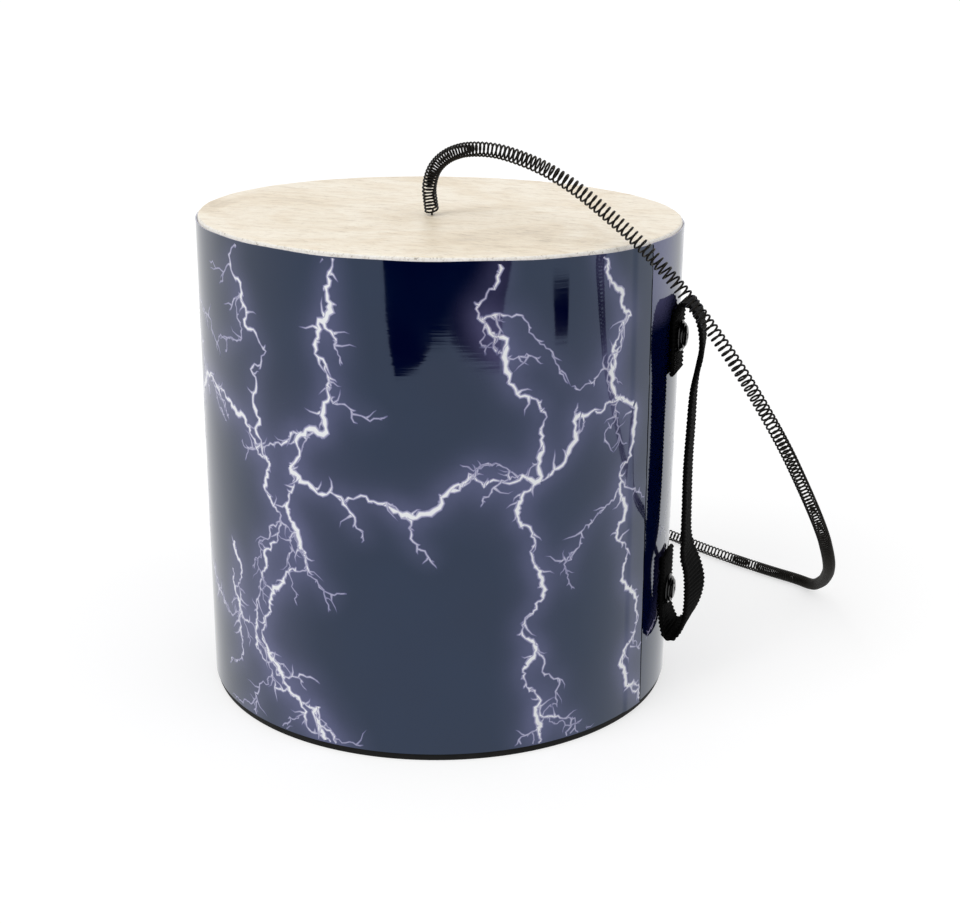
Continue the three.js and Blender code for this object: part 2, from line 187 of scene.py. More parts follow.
# The spring's way, from its hole: up from the head, over in an arch, down past the rim, and
# away on the ground. Heights are over the head in the rise and over the ground after it.
SPRING_RISE = [
    (0, 0, 1.2), (-0.8, 0.3, 6), (-1.4, 0.6, 10.3), (-0.7, 0.3, 14.5), (1, -0.4, 18.6),
    (4, -1.6, 22.2), (8, -3.2, 25.1), (12.6, -5.1, 27.2), (17.5, -7.1, 28.6), (27.2, -11, 29.6),
    (36.6, -14.8, 29.1), (54, -21.8, 25.3), (69.5, -28, 18.9), (83.1, -33.5, 11.2),
    (95.7, -38.6, 3.3),
]
SPRING_FALL = [
    (109, -43.5, 196.8), (125.9, -40, 176.5), (138.4, -35.2, 158.2), (148.6, -28.1, 139.8),
    (155.4, -18.5, 124), (161.1, -7.5, 107.7), (166.1, 5.9, 90.5), (168.8, 20.3, 76.1),
    (169.5, 32.3, 66.2), (169.4, 47.1, 56), (168.5, 63.9, 46), (166.8, 82.4, 35.8),
    (164.4, 100.7, 25.9), (161.6, 117.7, 16.7), (158, 132.4, 8.9),
]
SPRING_GROUND = [
    (153.4, 142.4), (147.7, 148.3), (136.7, 152.3), (124.7, 158), (107.2, 166.8), (88.9, 177.4),
    (71, 188.8), (53.6, 199.2), (36.1, 209.4), (18.8, 219),
]
# The coil's middle lies at half its width over the ground, and never under the second value
LIES_AT, LOWEST_MIDDLE = 2.9, 2.95

# Distance between curls, in mm, at lengths along the way: close at the root, open over the
# arch, closer where the coil hangs, closed in the bend on the ground
PITCHES = [
    (0, 1.33), (12, 1.35), (22, 1.3), (30, 1.48), (37, 1.6), (41, 1.75), (46, 2.05), (60, 2.2),
    (78, 2.35), (95, 2.5), (125, 2.5), (150, 2.3), (165, 2.35), (205, 2.5), (235, 2.4), (265, 2.3),
    (300, 2.25), (330, 2.15), (355, 1.95), (380, 1.6), (405, 1.25), (430, 1.08), (470, 1.06),
    (478, 1.1), (483, 2.0), (488, 1.3), (494, 1.4), (499, 2.3), (620, 2.4),
]
# The slack coil's curls lean, in degrees: their front edge low at the root, and forward of their
# rear edge where the coil arches over the head
LEANS = [
    (0, -22), (8, -18), (16, -5), (22, 3), (40, 11), (60, 13), (80, 12), (100, 12.5), (120, 12),
    (140, 8), (158, 0),
]
LEAN_SIDE = np.array([0.31, -0.93, 0.2])
# Up to the arch the coil measures a tenth wider than in its fall
WIDENINGS = [(0, 1.1), (78, 1.1), (128, 1.0)]
# The first curls stand this much higher, clear of the head when the spring is lifted
ROOT_LIFTS = [(0, 0.2), (1.2, 0.2), (8, 0)]
LEG_HEIGHTS = (LEG_BOTTOM, LEG_BOTTOM + 0.1, 199, 201.5, 203.6, 205.0)
# The wire leaves the leg at the back, so that the first curl is whole in front
FIRST_TURN = math.radians(-60)
STEPS_PER_TURN, WIRE_SIDES = 12, 6


def eased(line, low, high, reach, fade=12):
    """The line between two lengths, with its corners eased over a reach on both sides."""
    step = 0.25
    lengths = run_lengths(line)
    even = np.arange(0, lengths[-1], step)
    out = at_lengths(line, lengths, even)
    window = np.exp(-0.5 * (np.arange(-3 * reach, 3 * reach + 0.1, step) / reach) ** 2)
    window /= window.sum()
    half = len(window) // 2
    padded = np.pad(out, ((half, half), (0, 0)), mode="edge")
    soft = np.stack([np.convolve(column, window, "valid") for column in padded.T], 1)
    share = np.clip((even - low) / fade, 0, 1) * np.clip((high - even) / fade, 0, 1)
    return out + (soft[:len(out)] - out) * share[:, None]


def spring_route():
    places = [(x, y, TUBE_HEIGHT + z) for x, y, z in SPRING_RISE] + SPRING_FALL
    places += [(x, y, LIES_AT) for x, y in SPRING_GROUND]
    line, _ = smooth_line([(HOLE_X + x, HOLE_Y + y, z) for x, y, z in places])
    line[:, 2] = np.maximum(line[:, 2], LOWEST_MIDDLE)
    # The bend on the ground is round, as a closed coil bends
    return eased(line, 404, 486, 6.0)


def spring_wire():
    """The spring: one bare wire, wound round the route of its solid, on a straight leg."""
    route = spring_route()
    lengths = run_lengths(route)
    step = 0.1
    fine = np.arange(0, lengths[-1], step)
    turns = np.concatenate([[0], np.cumsum(step / read_off(fine, PITCHES))[:-1]])
    phase = np.arange(int(turns[-1] * STEPS_PER_TURN)) / STEPS_PER_TURN
    along = np.interp(phase, turns, fine)
    forward = ways_at(route, lengths, along, 0.5)
    # A side direction carried along the route without twist
    side = np.array([0.0, 1.0, 0.0])
    sides_of = np.zeros_like(forward)
    for i, way in enumerate(forward):
        side = side - way * (side @ way)
        side /= np.linalg.norm(side)
        sides_of[i] = side
    # The coil opens from the leg over its first half turn
    opening = np.clip((phase + 0.04) / 0.38, 0, 1)
    radius = COIL_MEAN_RADIUS * read_off(along, WIDENINGS) * opening * opening * (3 - 2 * opening)
    angle = FIRST_TURN + 2 * math.pi * phase
    spoke = np.cos(angle)[:, None] * sides_of + np.sin(angle)[:, None] * np.cross(forward, sides_of)
    wire = at_lengths(route, lengths, along) + radius[:, None] * spoke
    lean_side = unit(LEAN_SIDE - forward * (forward @ LEAN_SIDE)[:, None])
    lean = np.tan(np.radians(read_off(along, LEANS)))
    wire += forward * (lean * radius * np.sum(spoke * lean_side, axis=1))[:, None]
    wire[:, 2] += read_off(along, ROOT_LIFTS)
    # Straight leg from the keeper up to the first curl
    leg = [[HOLE_X, HOLE_Y, z] for z in LEG_HEIGHTS]
    wire = np.concatenate([leg, wire[1:]])
    spoke = np.concatenate([np.repeat(spoke[:1], len(leg), axis=0), spoke[1:]])
    tangent = unit(np.gradient(wire, axis=0))
    spoke = unit(spoke - tangent * np.sum(spoke * tangent, axis=1)[:, None])
    across = np.cross(tangent, spoke)
    turn = 2 * math.pi * np.arange(WIRE_SIDES)[:, None] / WIRE_SIDES
    skin = spoke[:, None] * np.cos(turn) + across[:, None] * np.sin(turn)
    points = (wire[:, None] + skin * WIRE / 2).reshape(-1, 3)
    made = mesh_object("coil_spring", points, closed_faces(len(wire), WIRE_SIDES))
    path = [[HOLE_X, HOLE_Y, z] for z in (LEG_BOTTOM, 200.0, 203.0)]
    path += at_lengths(route, lengths, np.linspace(0.3, lengths[-1], 160)).tolist()
    return made, np.array(path)


coil_spring, spring_path = spring_wire()
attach(coil_spring, "hanging_spring")
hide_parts("spring")


# Materials
def linear(code):
    """sRGB hex to the linear colour that a socket takes."""
    values = [int(code[i:i + 2], 16) / 255 for i in (1, 3, 5)]
    return [v / 12.92 if v <= 0.04045 else ((v + 0.055) / 1.055) ** 2.4 for v in values] + [1.0]


def link(tree, node, sources):
    """Links the inputs of a node. A node as a source stands for its first output."""
    for key, source in sources.items():
        if isinstance(source, bpy.types.Node):
            source = source.outputs[0]
        tree.links.new(source, node.inputs[key])


def add(tree, kind, settings=None, links=None):
    """Adds a node, sets its properties or inputs by name, and links inputs to outputs."""
    node = tree.nodes.new("ShaderNode" + kind)
    for key, value in (settings or {}).items():
        if isinstance(key, str) and hasattr(node, key):
            setattr(node, key, value)
        else:
            node.inputs[key].default_value = value
    link(tree, node, links or {})
    return node


def finish_named(name, colour, roughness, metallic=0.0, ior=1.5, specular=0.5):
    """A new material, with its tree, its shader and the place on the piece that patterns read."""
    material = bpy.data.materials.new(name)
    material.use_nodes = True
    tree = material.node_tree
    shader = tree.nodes["Principled BSDF"]
    values = {"Base Color": linear(colour), "Roughness": roughness, "Metallic": metallic,
              "IOR": ior, "Specular IOR Level": specular}
    for key, value in values.items():
        shader.inputs[key].default_value = value
    return material, tree, shader, add(tree, "TexCoord").outputs["Object"]


def stops(ramp_node, *pairs):
    """Sets the colours of a ramp, each at its place."""
    ramp = ramp_node.color_ramp
    while len(ramp.elements) < len(pairs):
        ramp.elements.new(0.5)
    for element, (place, colour) in zip(ramp.elements, pairs):
        element.position = place
        element.color = linear(colour)
    return ramp_node


# Laminated litho print: dark inks under a clear polyester film. The eye sees near-black navy
# with a violet bloom round the bolts, under a mirror-like gloss that takes the white studio.
def printed_film():
    material, tree, shader, place = finish_named("laminated_litho_print", "#000A2E", 0.06, ior=1.72)
    # The clear film over dark ink gives a cold gloss
    shader.inputs["Specular Tint"].default_value = (0.56, 0.73, 1.0, 1.0)
    haze = add(tree, "Attribute", {"attribute_name": "haze"})
    bolt = add(tree, "Attribute", {"attribute_name": "bolt"})
    # Soft cloud in the ink, about 45 mm across
    cloud = add(tree, "TexNoise", {"Scale": 22.0, "Detail": 3.0, "Roughness": 0.5}, {"Vector": place})
    # Bloom round the bolts breaks up at about 3 mm
    fray = add(tree, "TexNoise", {"Scale": 320.0, "Detail": 3.0, "Roughness": 0.6}, {"Vector": place})
    sky = stops(add(tree, "ValToRGB", links={"Fac": cloud}), (0.35, "#000226"), (0.70, "#010D2E"))
    wide = add(tree, "Math", {"operation": "MULTIPLY_ADD", 1: 0.25, 2: -0.125}, {0: fray})
    spread = add(tree, "Math", {"operation": "MULTIPLY_ADD", "use_clamp": True},
                 {0: haze.outputs["Fac"], 1: wide, 2: haze.outputs["Fac"]})
    glow = add(tree, "Mix", {"data_type": "RGBA", 7: linear("#65638C")}, {0: spread, 6: sky})
    ink = stops(add(tree, "ValToRGB", links={"Fac": bolt.outputs["Fac"]}),
                (0.05, "#67648D"), (0.22, "#7A769E"), (0.48, "#CBC8DE"), (0.68, "#FFFFFF"))
    core = add(tree, "MapRange", {"interpolation_type": "SMOOTHSTEP", "From Max": 0.22},
               {"Value": bolt.outputs["Fac"]})
    print_colour = add(tree, "Mix", {"data_type": "RGBA"}, {0: core, 6: glow.outputs[2], 7: ink})
    # The film's ripple: 33 mm long round the tube, 2 mm high, some 10 microns deep
    ripple_place = add(tree, "Mapping", {"Scale": (0.06, 0.06, 1.0)}, {"Vector": place})
    ripple = add(tree, "TexNoise", {"Scale": 500.0, "Detail": 2.0}, {"Vector": ripple_place})
    # Low swells of about 33 mm
    swell = add(tree, "TexNoise", {"Scale": 30.0, "Detail": 1.0}, {"Vector": place})
    fine = add(tree, "Bump", {"Strength": 0.35, "Distance": 0.00003}, {"Height": ripple})
    bump = add(tree, "Bump", {"Strength": 0.5, "Distance": 0.0004}, {"Height": swell, "Normal": fine})
    # Finger marks of about 22 mm change the gloss a little
    smear = add(tree, "TexNoise", {"Scale": 45.0, "Detail": 4.0, "Roughness": 0.65}, {"Vector": place})
    gloss = add(tree, "MapRange", {"From Min": 0.4, "From Max": 0.8, "To Min": 0.045, "To Max": 0.10},
                {"Value": smear})
    link(tree, shader, {"Base Color": print_colour.outputs[2], "Normal": bump, "Roughness": gloss})
    return material


# Polyester film bonded to fibre web, as drum heads with a hide look are made: satin cream
# with drawn-out mottling in grey and brown.
def hide_film():
    material, tree, shader, place = finish_named("hide_look_polyester_head", "#F1E7D3", 0.42)
    turned = add(tree, "Mapping", {"Rotation": (0, 0, math.radians(-12)), "Scale": (0.33, 1.0, 1.0)},
                 {"Vector": place})
    # Streaks of the web, about 13 mm long and 4 mm wide
    streak = add(tree, "TexNoise", {"Scale": 230.0, "Detail": 8.0, "Roughness": 0.72, "Distortion": 0.3},
                 {"Vector": turned})
    # Fibres of about 1 mm
    fibre = add(tree, "TexNoise", {"Scale": 900.0, "Detail": 4.0, "Roughness": 0.7}, {"Vector": turned})
    # Stain patches of about 60 mm
    patch = add(tree, "TexNoise", {"Scale": 17.0, "Detail": 5.0, "Roughness": 0.6, "Distortion": 0.8},
                {"Vector": place})
    web = stops(add(tree, "ValToRGB", links={"Fac": streak}),
                (0.30, "#DFD2BB"), (0.44, "#F7EBD6"), (0.58, "#FFF6E4"), (0.72, "#F4E6CC"))
    stain = stops(add(tree, "ValToRGB", links={"Fac": patch}),
                  (0.46, "#FFFFFF"), (0.60, "#F3EDE4"), (0.76, "#CFC6BA"))
    base = add(tree, "Mix", {"data_type": "RGBA", "blend_type": "MULTIPLY", 0: 0.85}, {6: web, 7: stain})
    speck = stops(add(tree, "ValToRGB", links={"Fac": fibre}), (0.32, "#C3B8A8"), (0.46, "#FFFFFF"))
    full = add(tree, "Mix", {"data_type": "RGBA", "blend_type": "MULTIPLY", 0: 0.5},
               {6: base.outputs[2], 7: speck})
    # The turned edge is painted paler, as painted light on its upright face, which takes less light than
    # the top; its darker nicks are scuffs in the skin
    height = add(tree, "SeparateXYZ", links={"Vector": place})
    edge = add(tree, "MapRange",
               {"From Min": (TUBE_HEIGHT - 0.1) * MM, "From Max": (TUBE_HEIGHT - 0.5) * MM},
               {"Value": height.outputs["Z"]})
    nick = add(tree, "TexNoise", {"Scale": 700.0, "Detail": 5.0, "Roughness": 0.75}, {"Vector": place})
    painted_rim_light = stops(add(tree, "ValToRGB", links={"Fac": nick}),
                 (0.34, "#A79F92"), (0.43, "#EFEAE0"), (0.6, "#FBF8F1"))
    rim = add(tree, "Mix", {"data_type": "RGBA"}, {0: edge, 6: full.outputs[2], 7: painted_rim_light})
    bump = add(tree, "Bump", {"Strength": 0.35, "Distance": 0.00008}, {"Height": fibre})
    link(tree, shader, {"Base Color": rim.outputs[2], "Normal": bump})
    return material


# Vulcanised fibre board, wound and cut: dull black, a little brown, with paper grain
def black_fibre():
    material, tree, shader, place = finish_named(
        "black_fibre_board", "#0C0C0C", 0.8, ior=1.45, specular=0.25
    )
    # Paper grain round the tube, about 1.7 mm high and 8 mm long
    laid = add(tree, "Mapping", {"Scale": (0.2, 0.2, 1.0)}, {"Vector": place})
    grain = add(tree, "TexNoise", {"Scale": 600.0, "Detail": 5.0, "Roughness": 0.65}, {"Vector": laid})
    # Scuffs of about 17 mm
    scuff = add(tree, "TexNoise", {"Scale": 60.0, "Detail": 6.0, "Roughness": 0.6}, {"Vector": place})
    tone = stops(add(tree, "ValToRGB", links={"Fac": grain}), (0.3, "#050505"), (0.7, "#131312"))
    worn = stops(add(tree, "ValToRGB", links={"Fac": scuff}), (0.48, "#000000"), (0.85, "#24221F"))
    both = add(tree, "Mix", {"data_type": "RGBA", "blend_type": "ADD", 0: 0.6}, {6: tone, 7: worn})
    bump = add(tree, "Bump", {"Strength": 0.5, "Distance": 0.00015}, {"Height": grain})
    link(tree, shader, {"Base Color": both.outputs[2], "Normal": bump})
    return material


# Oil-tempered spring wire: drawn steel with a black oxide skin, semi-bright, which draws a
# thin grey line of light along each curl. The oil on it keeps the gloss low.
def spring_steel():
    material, tree, shader, place = finish_named(
        "black_oiled_spring_steel", "#050403", 0.38, ior=1.27, specular=0.44
    )
    shader.inputs["Specular Tint"].default_value = (1.0, 0.93, 0.84, 1.0)
    # Oxide skin thin and thick in spots of about 4 mm
    skin = add(tree, "TexNoise", {"Scale": 260.0, "Detail": 3.0}, {"Vector": place})
    tone = stops(add(tree, "ValToRGB", links={"Fac": skin}), (0.35, "#030202"), (0.7, "#0B0906"))
    rough = add(tree, "MapRange", {"To Min": 0.24, "To Max": 0.42}, {"Value": skin})
    link(tree, shader, {"Base Color": tone, "Roughness": rough})
    return material


# Polypropylene webbing, woven on a narrow loom: dull black yarns, painted a little greyer on their tops
# and darker in the hollows between them, as painted highlight and shade
def webbing():
    material, tree, shader, place = finish_named(
        "woven_polypropylene_webbing", "#0A0A0A", 0.7, ior=1.49, specular=0.05
    )
    relief = add(tree, "Attribute", {"attribute_name": "yarn"})
    # Single filaments in a yarn, about 0.2 mm
    strand = add(tree, "TexNoise", {"Scale": 5200.0, "Detail": 2.0}, {"Vector": place})
    # Painted highlight and shade: lighter where the yarns stand high, darker in the hollows between them
    tone = stops(add(tree, "ValToRGB", links={"Fac": relief.outputs["Fac"]}),
                 (0.1, "#000000"), (0.6, "#020202"), (1.0, "#080808"))
    hair = stops(add(tree, "ValToRGB", links={"Fac": strand}), (0.35, "#8A8A8A"), (0.65, "#FFFFFF"))
    both = add(tree, "Mix", {"data_type": "RGBA", "blend_type": "MULTIPLY", 0: 0.8}, {6: tone, 7: hair})
    bump = add(tree, "Bump", {"Strength": 0.5, "Distance": 0.0001}, {"Height": strand})
    link(tree, shader, {"Base Color": both.outputs[2], "Normal": bump})
    return material


# Enamelled steel: a thick black stove enamel that stays wet-looking and pools in the recess
def black_enamel():
    material, tree, shader, place = finish_named("black_stove_enamelled_steel", "#0B0B0C", 0.14)
    # Orange peel of about 0.8 mm
    peel = add(tree, "TexNoise", {"Scale": 1200.0, "Detail": 1.0}, {"Vector": place})
    mottle = stops(add(tree, "ValToRGB", links={"Fac": peel}), (0.3, "#070708"), (0.75, "#151516"))
    bump = add(tree, "Bump", {"Strength": 0.3, "Distance": 0.00006}, {"Height": peel})
    link(tree, shader, {"Base Color": mottle, "Normal": bump})
    return material


# Zinc plate on pressed or turned steel: pale grey metal, a little blue, with dull spangle
def zinc_plate():
    material, tree, shader, place = finish_named("zinc_plated_steel", "#B4B8BC", 0.32, metallic=1.0)
    # Spangle cells of about 1.5 mm
    spangle = add(tree, "TexVoronoi", {"Scale": 650.0}, {"Vector": place})
    tone = stops(add(tree, "ValToRGB", links={"Fac": spangle}), (0.1, "#9FA4A8"), (0.8, "#C4C7C9"))
    rough = add(tree, "MapRange", {"To Min": 0.26, "To Max": 0.42}, {"Value": spangle})
    link(tree, shader, {"Base Color": tone, "Roughness": rough})
    return material


# Moulded nylon: milky off-white, satin, with light under the skin
def white_nylon():
    material, tree, shader, place = finish_named("moulded_nylon", "#E4E1D6", 0.4, ior=1.53)
    # Mould texture of about 0.6 mm
    flow = add(tree, "TexNoise", {"Scale": 1600.0, "Detail": 2.0}, {"Vector": place})
    tone = stops(add(tree, "ValToRGB", links={"Fac": flow}), (0.3, "#DAD6C8"), (0.7, "#ECEAE0"))
    bump = add(tree, "Bump", {"Strength": 0.2, "Distance": 0.00004}, {"Height": flow})
    link(tree, shader, {"Base Color": tone, "Normal": bump})
    return material


# Matt black strip on the lap's cut edge: painted shadow of the narrow gap under the lap's free edge
def seam_shadow_finish():
    material, tree, shader, place = finish_named("painted_seam_shadow_black", "#020203", 0.9, specular=0.0)
    # Specks of about 1 mm in the painted shadow
    mottle = add(tree, "TexNoise", {"Scale": 900.0, "Detail": 3.0}, {"Vector": place})
    tone = stops(add(tree, "ValToRGB", links={"Fac": mottle}), (0.45, "#010102"), (0.8, "#1A1A20"))
    link(tree, shader, {"Base Color": tone})
    return material


hide_finish = hide_film()
enamel_finish = black_enamel()
zinc_finish = zinc_plate()


def coat(piece, material):
    piece.data.materials.clear()
    piece.data.materials.append(material)


def settle(piece, material, body, slot, *nodes):
    coat(piece, material)
    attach(piece, body)
    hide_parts(*nodes)


coat(coil_spring, spring_steel())

# The wrap: a sheet round the shell whose end laps over its start. Its print is drawn in
# the sheet's own flat measures: run round the tube from the seam, and height.
SHEET_LENGTH = 2 * math.pi * WRAP_RADIUS
STROKES = 11
SHORTEST_PIECE = 2.0
print_rng = random.Random(207)
draw = print_rng.uniform


def jagged(start, end):
    """A bolt from start to end: the middle of each piece is pushed aside, again and again."""
    points = [np.array(start, float), np.array(end, float)]
    sway, most_sway = 0.24, 0.34
    while np.linalg.norm(points[1] - points[0]) > SHORTEST_PIECE:
        fuller = [points[0]]
        for a, b in zip(points, points[1:]):
            way = b - a
            aside = np.array([-way[1], way[0]]) * draw(-sway, sway)
            fuller += [(a + b) / 2 + aside, b]
        points = fuller
        sway = min(sway * 1.04, most_sway)
    return points


def step_to(turn):
    return np.array([math.cos(turn), math.sin(turn)])


def bolts():
    """Every bolt, fork and twig as (points, width at each point), in sheet measures."""
    made = []

    def grow(start, end, width, depth, to_point):
        line = jagged(start, end)
        n = len(line)
        phase = draw(0, 6.3)
        widths = []
        for i in range(n):
            fade = (1 - i / (n - 1)) ** 0.7 if to_point else 1.0
            swing = 0.7 + 0.3 * math.sin(i * 0.19 + phase)
            widths.append(max(width * (0.25 + 0.75 * fade) * swing * draw(0.65, 1.35), 0.12))
        made.append((line, widths))
        span = np.array(end) - np.array(start)
        heading = math.atan2(span[1], span[0])
        if depth < 2:
            # A fork every 30 mm on a main stroke, shorter ones every 26 mm on a fork
            apart, size = (30, 1.0) if depth == 0 else (26, 0.5)
            forks = int(np.linalg.norm(span) / apart + print_rng.random())
            for _ in range(forks):
                i = print_rng.randrange(n // 8, n - 1)
                lean = print_rng.choice((-1, 1)) * math.radians(draw(28, 62))
                reach = draw(12, 46) * size
                grow(line[i], line[i] + reach * step_to(heading + lean), width * 0.62, depth + 1, True)
        # Short side sparks, themselves bent
        i = print_rng.randrange(1, 5)
        while i < n - 1:
            lean = print_rng.choice((-1, 1)) * math.radians(draw(30, 80))
            reach = print_rng.choice((1.8, 2.6, 3.5, 5.0, 8.0)) * draw(0.8, 1.25)
            way = line[i + 1] - line[i]
            local = math.atan2(way[1], way[0]) + lean
            spark = [line[i]]
            for _ in range(3 if reach > 4 else 2):
                local += draw(-0.7, 0.7)
                spark.append(spark[-1] + reach / 3 * step_to(local))
            made.append((spark, [width * f for f in (0.6, 0.42, 0.26, 0.14)][:len(spark)]))
            i += print_rng.randrange(1, 6)

    # The strokes fall from the top edge, and low strokes cross between them
    knots = []
    for k in range(STROKES):
        top = SHEET_LENGTH * (k + 0.62) / STROKES + draw(-14, 14)
        knee = (top + draw(-26, 26), draw(70, 150))
        foot = knee[0] + draw(-46, 46)
        width = draw(0.38, 0.6)
        grow((top, WRAP_HIGH + 2), knee, width, 0, False)
        if print_rng.random() < 0.72:
            grow(knee, (foot, WRAP_LOW - 2), width * 0.95, 0, False)
        else:
            grow(knee, (foot, draw(30, 55)), width * 0.9, 1, True)
        knots.append(knee)
    for k, (a, b) in enumerate(zip(knots, knots[1:])):
        if k % 3 != 1:
            grow(a, b, draw(0.36, 0.58), 1, False)
    # Five loose bolts of 60 mm that fade to a point
    for _ in range(5):
        start = np.array([draw(20, SHEET_LENGTH - 20), draw(40, 110)])
        grow(start, start + 60 * step_to(math.radians(draw(-140, -40))), 0.45, 1, True)
    return made


all_bolts = bolts()


def bolt_samples(spacing):
    places, widths = [], []
    for line, width in all_bolts:
        for a, b, wa, wb in zip(line, line[1:], width, width[1:]):
            n = max(1, int(np.linalg.norm(b - a) / spacing))
            for i in range(n):
                places.append(a + (b - a) * i / n)
                widths.append(wa + (wb - wa) * i / n)
    return np.array(places), np.array(widths)


# Bloom round the bolts, on a 1 mm grid that goes on past the sheet's edges
GRID_MARGIN, BLUR_REACH = 60, 45


def light_grid():
    places, widths = bolt_samples(2.0)
    edges = [np.arange(-GRID_MARGIN - 0.5, size + GRID_MARGIN + 1) for size in (SHEET_LENGTH, TUBE_HEIGHT)]
    grid, _, _ = np.histogram2d(*places.T, bins=edges, weights=widths / 0.55)
    total = 0
    # A close bloom and a wide one: how far each spreads, in mm, and how strong it is
    for spread, strength in ((4.0, 0.38), (13.0, 0.08)):
        window = np.exp(-0.5 * (np.arange(-BLUR_REACH, BLUR_REACH + 1) / spread) ** 2)
        blurred = grid
        for axis in (0, 1):
            blurred = np.apply_along_axis(np.convolve, axis, blurred, window, "same")
        # The samples of a bolt lie 1.7 mm apart on average
        total = total + blurred * strength * 1.7 / (spread * math.sqrt(2 * math.pi))
    return total


bloom_grid = light_grid()


def haze_at(points):
    """How far the bloom hides the sky, from 0 to 1, at points on the sheet."""
    column, row = points.T + GRID_MARGIN
    c, r = column.astype(int), row.astype(int)
    u, v = column - c, row - r
    light = (
        (bloom_grid[c, r] * (1 - u) + bloom_grid[c + 1, r] * u) * (1 - v)
        + (bloom_grid[c, r + 1] * (1 - u) + bloom_grid[c + 1, r + 1] * u) * v
    )
    # The sheet starts in bright cloud at its top
    cloud = np.clip((30 - points[:, 0]) / 20, 0, 1) * np.clip((points[:, 1] - 166) / 20, 0, 1)
    # The factor over 1 keeps the sky clear of the faintest light
    return np.clip(1 - 1.07 * np.exp(-light - 1.6 * cloud), 0, 1)


def bolt_at(points):
    """Brightness of the bolts: 1 in the middle of one, falling to 0 at three widths from it."""
    places, widths = bolt_samples(0.35)
    strength = np.clip(0.24 + 1.6 * widths, 0.28, 1.1)
    order = np.argsort(points[:, 0])
    block_size, window = 250, 3.5
    out = np.zeros(len(points))
    for low in range(0, len(points), block_size):
        chosen = order[low:low + block_size]
        block = points[chosen]
        near = (places[:, 0] > block[0, 0] - window) & (places[:, 0] < block[-1, 0] + window)
        gap = np.sqrt(((block[:, None, :] - places[near][None, :, :]) ** 2).sum(axis=2))
        share = np.clip(1 - gap / (3.0 * widths[near] + 0.25), 0, 1) ** 1.5
        out[chosen] = (share * strength[near]).max(axis=1, initial=0)
    return out


def on_tube(run, height, lift=0.0):
    """Sheet measures to a place on the wrap's outside. The lap stands LAP_RISE proud."""
    turn = SEAM_ANGLE + run / WRAP_RADIUS + SEAM_LEAN * height / TUBE_HEIGHT
    swell = np.clip((run - SHEET_LENGTH + LAP_WIDTH) / 3.0 + 0.5, 0, 1)
    # The free edge of the lap springs up a little, and its cut is rounded
    spring_up = 0.15 * np.clip((run - SHEET_LENGTH + 8) / 8, 0, 1) ** 2
    rounding = -0.16 * np.clip((run - SHEET_LENGTH + 0.35) / 0.35, 0, 1) ** 2
    radius = WRAP_RADIUS + LAP_RISE * swell * swell * (3 - 2 * swell) + spring_up + rounding + lift
    return np.stack([AXIS_X + radius * np.cos(turn), AXIS_Y + radius * np.sin(turn), height], axis=-1)


def wrap_sheet():
    """The film's points, their sheet places, its faces and the number of points in a ring."""
    lap_foot = SHEET_LENGTH - LAP_WIDTH - 3
    runs = np.concatenate([
        np.linspace(0, lap_foot, 300), np.linspace(lap_foot, SHEET_LENGTH - 0.4, 18)[1:],
        [SHEET_LENGTH - 0.25, SHEET_LENGTH - 0.1, SHEET_LENGTH],
    ])
    heights = np.concatenate([
        [WRAP_LOW, WRAP_LOW + 0.15], np.linspace(WRAP_LOW + 0.8, WRAP_HIGH - 0.8, 84),
        [WRAP_HIGH - 0.15, WRAP_HIGH],
    ])
    run, height = np.meshgrid(runs, heights, indexing="ij")
    flat = np.stack([run, height], axis=-1)
    # The cut top edge wanders by a few tenths
    wander = 0.18 * np.sin(run / 17.0) + 0.12 * np.sin(run / 6.3 + 1.0)
    height = height + wander * np.clip((height - 190) / 12, 0, 1)
    inside = on_tube(run, height, 0.02 - WRAP_THICK)
    # Rings run up the outside and down the inside, so the sheet is closed at all edges
    points = np.concatenate([on_tube(run, height), inside[:, [-1, 0]]], axis=1)
    sheet = np.concatenate([flat, flat[:, [-1, 0]]], axis=1)
    ring = sheet.shape[1]
    return points.reshape(-1, 3), sheet.reshape(-1, 2), closed_faces(len(runs), ring, turned=True), ring


# Points across a bolt's band, in widths. The outer ones are sunk in the film, and bands lie a
# hair apart where they cross.
BAND = (-3.0, -1.6, -0.7, 0.0, 0.7, 1.6, 3.0)
BAND_MARGIN, BAND_SINK, BAND_LIFT, BAND_APART = 0.083, -0.03, 0.02, 0.0004


def bolt_ribbons(first):
    """Each bolt as a thin band on the film, seven points wide, so that it is drawn sharply."""
    lifts, sheet, faces = [], [], []
    for number, (line, width) in enumerate(all_bolts):
        way = np.gradient(np.array(line), axis=0)
        way /= np.maximum(np.linalg.norm(way, axis=1), 1e-6)[:, None]
        start, kept = first + len(sheet), 0
        for point, (x, z), w in zip(line, way, width):
            if WRAP_LOW + 0.3 < point[1] < WRAP_HIGH - 0.5 and 0.6 < point[0] < SHEET_LENGTH - 0.6:
                for offset in BAND:
                    sheet.append(point + np.array([-z, x]) * offset * (w + BAND_MARGIN))
                    lifts.append(BAND_SINK if abs(offset) > 2 else BAND_LIFT + BAND_APART * (number % 40))
                kept += 1
            else:
                faces += ring_faces(kept, len(BAND), False, start)
                start, kept = first + len(sheet), 0
        faces += ring_faces(kept, len(BAND), False, start)
    sheet = np.clip(sheet, (0.3, WRAP_LOW + 0.1), (SHEET_LENGTH - 0.3, WRAP_HIGH - 0.3))
    return on_tube(*sheet.T, np.array(lifts)), sheet, faces


